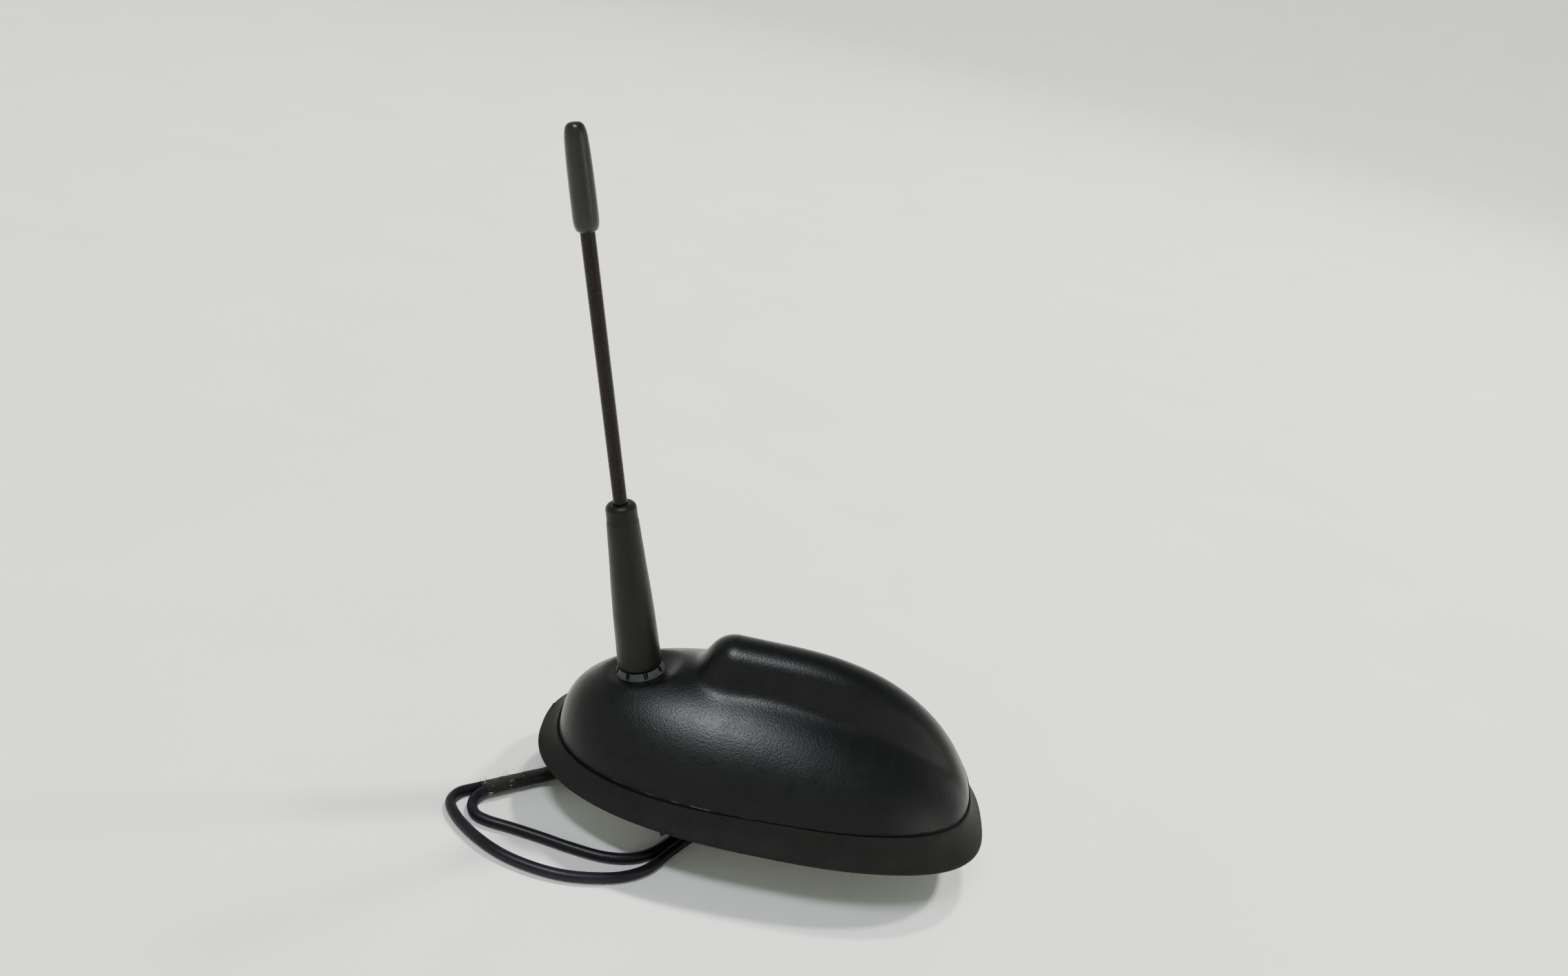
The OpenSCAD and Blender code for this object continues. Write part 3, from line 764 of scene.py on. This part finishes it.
def cover_skin():
    outer = [cover_ring(math.sin(math.pi / 2 * j / ROWS), 0.0, AROUND) for j in range(1, ROWS + 1)]
    inner = [cover_ring(math.sin(math.pi / 2 * j / ROWS), WALL, AROUND) for j in range(1, ROWS + 1)]
    points = [p for ring in outer for p in ring]
    top = len(points)
    points.append((CROWN_X, 0, crown(CROWN_X, 0)))
    base = len(points)
    points += [p for ring in inner for p in ring]
    points.append((CROWN_X, 0, crown(CROWN_X, 0) - WALL))
    faces = ring_faces(ROWS, AROUND)
    faces += [(i, (i + 1) % AROUND, top) for i in range(AROUND)]
    faces += [tuple(base + v for v in f) for f in ring_faces(ROWS, AROUND)]
    faces += [(base + i, base + (i + 1) % AROUND, base + top) for i in range(AROUND)]
    edge = (ROWS - 1) * AROUND
    for i in range(AROUND):
        k = (i + 1) % AROUND
        faces.append((edge + i, edge + k, base + edge + k, base + edge + i))
    skin = mesh_object("cover_shell", points, faces)
    hole_r, low, high = SEAT_R + 0.05 * MM, -9 * MM, 6 * MM
    hole = lathe("hole", [(0, low), (hole_r, low), (hole_r, high), (0, high)], MAST_PLACE)
    return sharpen(cut(skin, hole), 35)


adopt(cover_skin(), cover_mat, "base", "cover_plastic", "cover")


def skirt_ring(u, v, d):
    """Ring at u of the way in to the lip and d further, at v of the lip's height; the free skirt droops."""
    droop = 0.0 if d else 1 - v
    ring = []
    for i in range(AROUND):
        t = math.tau * i / AROUND
        p = drawn_in(t, u * inset(t) + d)
        ring.append((p.x, p.y, v * parting(p.x) - droop * NOSE_DROP * nose(p.x)))
    return ring


def gasket_skin():
    """Flared skirt with a rounded rim and lip, its inner ledge, and the web under the base."""
    outline = [(0.02, 0.0, 0), (-0.01, 0.035, 0), (0.02, 0.09, 0), (0.14, 0.17, 0), (0.3, 0.28, 0),
               (0.46, 0.40, 0), (0.62, 0.53, 0), (0.76, 0.67, 0), (0.88, 0.82, 0), (0.94, 0.92, 0),
               (0.965, 0.975, 0), (1.0, 1.0, 0), (1.0, 0.99, 0.45 * MM), (1.0, 0.96, 0.6 * MM),
               (1.0, 0.95, 3.4 * MM), (1.0, 0.5, 3.4 * MM), (0.0, 0.16, 8.6 * MM)]
    rings = [skirt_ring(*o) for o in outline]
    points = [p for ring in rings for p in ring]
    n = len(rings)
    faces = ring_faces(n, AROUND)
    hole_r = 12.4 * MM
    for z in (1.2 * MM, 0.0):
        for i in range(AROUND):
            p = drawn_in(math.tau * i / AROUND, 8.6 * MM)
            q = p.normalized() * hole_r
            points.append((q.x, q.y, z))
    web = n * AROUND
    for i in range(AROUND):
        k = (i + 1) % AROUND
        last = (n - 1) * AROUND
        faces.append((last + i, last + k, web + k, web + i))
        faces.append((web + i, web + k, web + AROUND + k, web + AROUND + i))
        faces.append((web + AROUND + i, web + AROUND + k, k, i))
    return sharpen(mesh_object("gasket_skirt", points, faces), 50)


def nib(x, y, out):
    """Small torn fin of moulding flash that hangs at the gasket's rim; out is its leaning direction."""
    lean = Vector(out).normalized()
    along = Vector((-lean.y, lean.x, 0))
    root = Vector((x, y, 1.0 * MM))
    profile = [(-1.3, 0), (1.3, 0), (1.1, -1.6), (0.2, -2.4), (-0.5, -1.5)]
    points = [root + along * (u * MM) + lean * ((0.4 + w) * MM) + Vector((0, 0, v * MM))
              for w in (-0.35, 0.35) for u, v in profile]
    n = len(profile)
    faces = [tuple(range(n)), tuple(range(2 * n - 1, n - 1, -1))]
    faces += [(i, (i + 1) % n, n + (i + 1) % n, n + i) for i in range(n)]
    return mesh_object("nib", points, faces, smooth=False)


gasket = gasket_skin()
for x, y in ((-25 * MM, 34.6 * MM), (-63.3 * MM, 8 * MM)):
    for s in (-1, 1):
        join(gasket, nib(x, s * y, (x, s * y, 0)))
adopt(gasket, gasket_mat, "base", "gasket_rubber", "gasket")

# ---- mast --------------------------------------------------------------------------------------


def arc(centre, radius, start, end, steps):
    return [(centre[0] + radius * math.cos(math.radians(start + (end - start) * i / steps)),
             centre[1] + radius * math.sin(math.radians(start + (end - start) * i / steps)))
            for i in range(steps + 1)]


def foot_outline():
    """Half section of the foot: flat sole, long taper, rounded shoulder, bore for the rod."""
    sides = [(6.2, 2.6), (5.95, 9.5), (5.75, 17.5), (5.4, 25.5), (4.95, 33.5), (4.6, 41), (4.38, 45.5)]
    return ([(3.05 * MM, FOOT_Z), (FOOT_R - 0.4 * MM, FOOT_Z)]
            + arc((FOOT_R - 0.4 * MM, FOOT_Z + 0.4 * MM), 0.4 * MM, -90, 0, 4)
            + [(r * MM, z * MM) for r, z in sides]
            + [(4.28 * MM, 46.2 * MM), (4.2 * MM, 46.35 * MM)]
            + arc((FOOT_TOP_R - 1.5 * MM, FOOT_TOP - 1.6 * MM), 1.6 * MM, 0, 80, 8)
            + [(2.1 * MM, FOOT_TOP - 0.05 * MM), (ROD_R + 0.03 * MM, FOOT_TOP - 0.25 * MM),
               (ROD_R + 0.03 * MM, ROD_Z)])


foot = sharpen(lathe("mast_foot_skin", foot_outline(), MAST_PLACE, 96), 45)
adopt(foot, foot_mat, "mast", "foot_plastic", "mast_foot")

rod_outline = [(1.5 * MM, ROD_Z), (ROD_R, ROD_Z), (ROD_R, 50 * MM), (2.05 * MM, 51.2 * MM),
               (2.0 * MM, 51.9 * MM), (ROD_R, 52.4 * MM), (ROD_R, 90 * MM), (ROD_R, 135 * MM),
               (1.5 * MM, 135 * MM)]
rod = sharpen(lathe("mast_rod_skin", rod_outline, MAST_PLACE, 48, closed=True), 45)
adopt(rod, rod_mat, "mast", "rod_plastic", "mast_rod")

tip_outline = ([(ROD_R + 0.08 * MM, 124 * MM), (ROD_R + 0.1 * MM, TIP_Z + 0.1 * MM), (2.4 * MM, TIP_Z),
                (2.75 * MM, TIP_Z + 0.3 * MM), (3.1 * MM, TIP_Z + 1.4 * MM), (TIP_R, TIP_Z + 2.4 * MM),
                (3.23 * MM, 127 * MM), (3.2 * MM, 133 * MM), (3.1 * MM, 139 * MM)]
               + [(x * MM, z * MM) for x, z in ((2.98, 142.5), (2.84, 145), (2.6, 146.6), (2.2, 147.7),
                                                (1.6, 148.3), (0.8, 148.5), (0.0001, 148.5))])
tip = sharpen(lathe("mast_tip_skin", tip_outline, MAST_PLACE, 64), 50)
adopt(tip, tip_mat, "mast", "tip_plastic", "mast_tip")

mast_stud = threaded("mast_stud_thread", THREAD_R, MAST_PITCH, -THREAD_IN, 4 * MM, 0.35 * MM, MAST_PLACE, 40)
adopt(mast_stud, brass_mat, "mast", "brass", "mast_stud")


def seat_skin():
    """Low worn collar round the mast's foot, with eight notches and a small post in each."""
    collar = [(3.1 * MM, SEAT_LOW), (SEAT_R, SEAT_LOW), (SEAT_R, -0.05 * MM), (7.0 * MM, 0.14 * MM),
              (6.8 * MM, 0.4 * MM), (6.2 * MM, SEAT_TOP - 0.2 * MM), (6.05 * MM, SEAT_TOP),
              (5.4 * MM, SEAT_TOP), (5.2 * MM, SEAT_TOP - 0.3 * MM), (4.6 * MM, SEAT_FLOOR),
              (3.2 * MM, SEAT_FLOOR), (3.1 * MM, SEAT_FLOOR - 0.1 * MM)]
    ring = lathe("seat_collar", collar, MAST_PLACE, 96, closed=True)
    turns = [Matrix.Rotation(math.tau * (i + 0.5) / 8, 4, "Z") for i in range(8)]
    for turn in turns:
        notch = box_mesh("notch", (4.8 * MM, -0.6 * MM, 0.2 * MM), (8 * MM, 0.6 * MM, 3 * MM), 0.1 * MM, 2)
        notch.data.transform(MAST_PLACE @ turn)
        cut(ring, notch)
    for turn in turns:
        tip_of_post = (5.9 * MM, 0.35 * MM, SEAT_TOP + 0.1 * MM)
        post = box_mesh("post", (5 * MM, -0.35 * MM, 0), tip_of_post, 0.15 * MM, 2)
        post.data.transform(MAST_PLACE @ turn)
        join(ring, post)
    return sharpen(ring, 45)


adopt(seat_skin(), seat_mat, "base", "seat_plastic", "seat_ring")

# ---- roof stud and nut ---------------------------------------------------------------------------


def stud_skin():
    rod = threaded("roof_stud_thread", STUD_R, STUD_PITCH, -STUD_L, 0.8 * MM, 0.75 * MM, around=72)
    bore = lathe("bore", [(0, -STUD_L - MM), (STUD_BORE_R + 0.5 * MM, -STUD_L - MM),
                          (STUD_BORE_R, -STUD_L + 0.4 * MM), (STUD_BORE_R, 3 * MM), (0, 3 * MM)])
    cut(rod, bore)
    slot = box_mesh("slot", (0, -EXIT_W / 2, -STUD_L - MM), (STUD_R + 2 * MM, EXIT_W / 2, -STUD_L + EXIT_H))
    slot.data.transform(Matrix.Rotation(EXIT_ANGLE, 4, "Z"))
    cut(rod, slot)
    neck_outline = [(STUD_BORE_R, 0.7 * MM), (STUD_R, 0.7 * MM), (STUD_R, PLATE_TOP),
                    (10.1 * MM, PLATE_TOP), (10.5 * MM, PLATE_TOP + 0.4 * MM), (10.5 * MM, 6 * MM),
                    (10.2 * MM, 6.3 * MM), (STUD_BORE_R, 6.3 * MM)]
    neck = lathe("neck", neck_outline, around=72, closed=True)
    join(rod, neck)
    return sharpen(rod, 40)


adopt(stud_skin(), steel_mat, "base", "plated_steel", "roof_stud")


def nut_skin():
    """Hexagon nut whose corners are turned off at both faces."""
    flats, low, high = 22 * MM, -7.2 * MM, -2.5 * MM
    corner = flats / 2 / math.cos(math.radians(30))
    hexagon = lathe("roof_nut_body", [(0, low), (corner, low), (corner, high), (0, high)], around=6)
    chamfer = 0.95 * MM
    turned = lathe("turned", [(0, low), (flats / 2 - 0.3 * MM, low), (corner, low + chamfer),
                              (corner, high - chamfer), (flats / 2 - 0.3 * MM, high), (0, high)], around=96)
    cut(hexagon, turned, "INTERSECT")
    bore_r = STUD_R + 0.06 * MM
    bore_outline = [(0, low - MM), (bore_r + 1.6 * MM, low - MM), (bore_r, low + 0.6 * MM),
                    (bore_r, high - 0.6 * MM), (bore_r + 1.6 * MM, high + MM), (0, high + MM)]
    bore = lathe("bore", bore_outline, around=96)
    cut(hexagon, bore)
    return sharpen(hexagon, 30)


adopt(nut_skin(), steel_mat, "nut", "plated_steel", "roof_nut")
